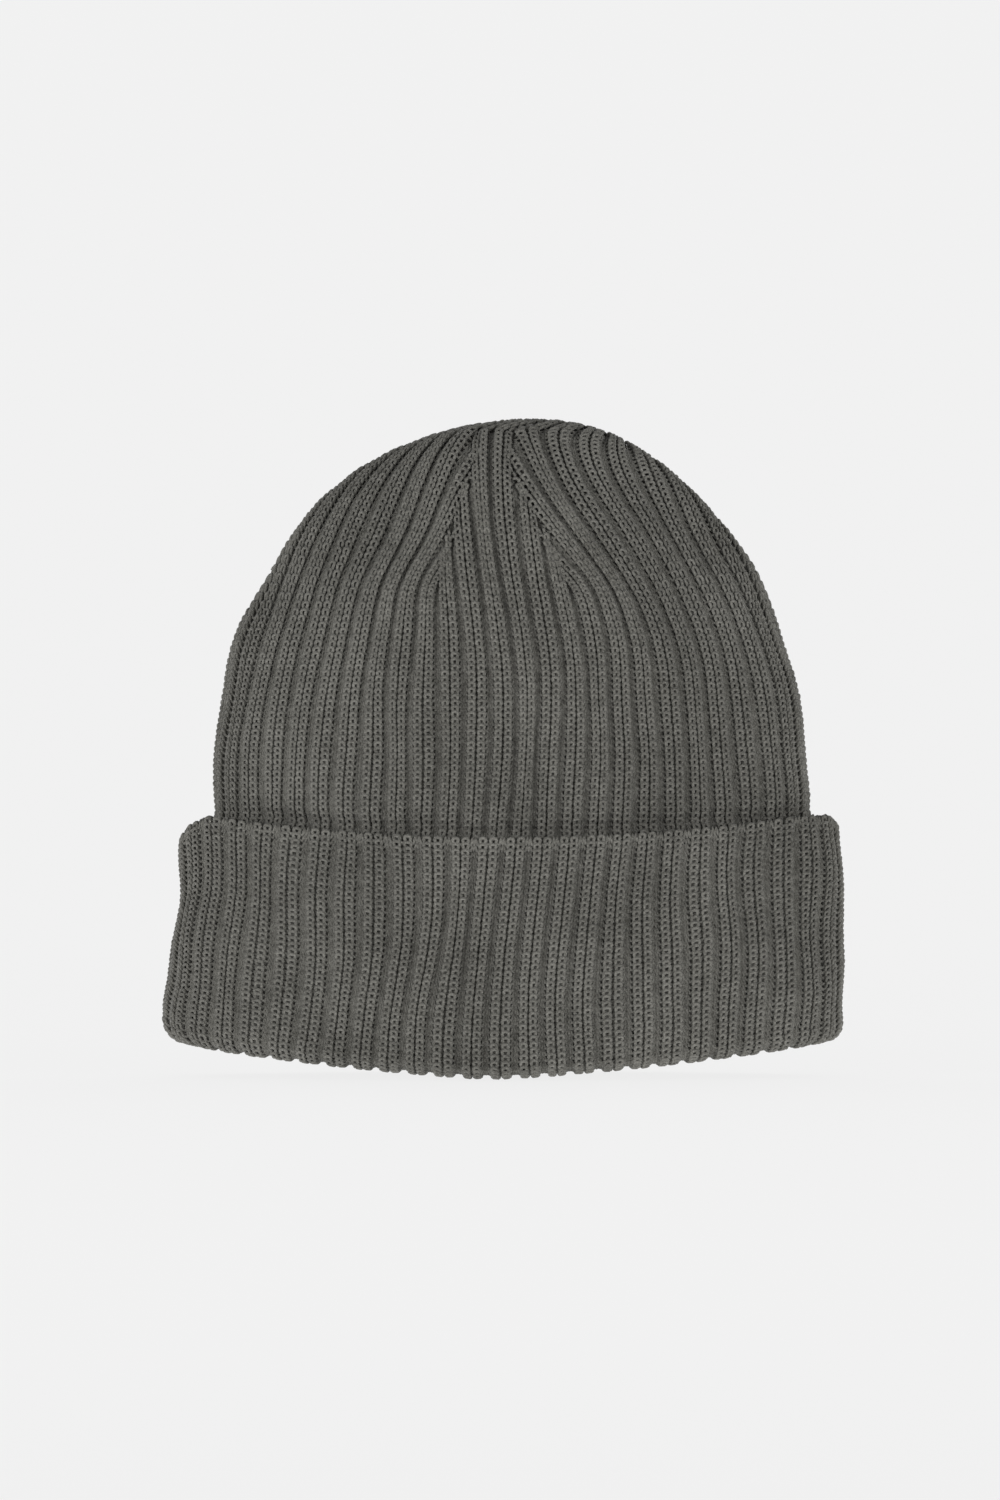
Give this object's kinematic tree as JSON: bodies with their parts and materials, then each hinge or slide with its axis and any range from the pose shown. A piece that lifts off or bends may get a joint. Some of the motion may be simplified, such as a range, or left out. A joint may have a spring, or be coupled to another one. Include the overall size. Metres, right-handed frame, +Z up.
{
  "type": "knit beanie",
  "caption": "Rib-knit winter hat with a turned-up cuff and a crown closed by six seams, worn over the head and ears.",
  "frame": {"origin": "middle of the folded hem, on the surface that the hat stands on", "axes": "+X to the right as seen from the front, +Y from the front to the back, +Z up to the crown's top"},
  "size_m": [0.2187, 0.0936, 0.2116],
  "materials": {
    "rib_knit": "soft heather knit",
    "seam_yarn": "matte yarn",
    "label_satin": "satin tape",
    "label_thread": "matte thread"
  },
  "bodies": {
    "cuff": {"turn_up_cuff": "rib_knit", "cuff_back_seam": "seam_yarn"},
    "crown": {"knit_crown": "rib_knit", "dart_seam_front_left": "seam_yarn", "dart_seam_front_right": "seam_yarn", "dart_seam_back_left": "seam_yarn", "dart_seam_back_right": "seam_yarn", "ridge_seam_left": "seam_yarn", "ridge_seam_right": "seam_yarn", "back_seam": "seam_yarn", "crown_tack": "seam_yarn", "care_label_stitches": "label_thread"},
    "care_label": {"care_label": "label_satin"}
  },
  "joints": [
    {"name": "cuff_turn_down", "type": "slide", "parent": "cuff", "child": "crown", "axis": [0, 0, 1], "range_m": [0, 0.07]},
    {"name": "label_flap", "type": "hinge", "parent": "crown", "child": "care_label", "pos_m": [0.002, 0.0325, 0.0695], "axis": [-1, 0, 0], "range_deg": [0, 110]}
  ]
}
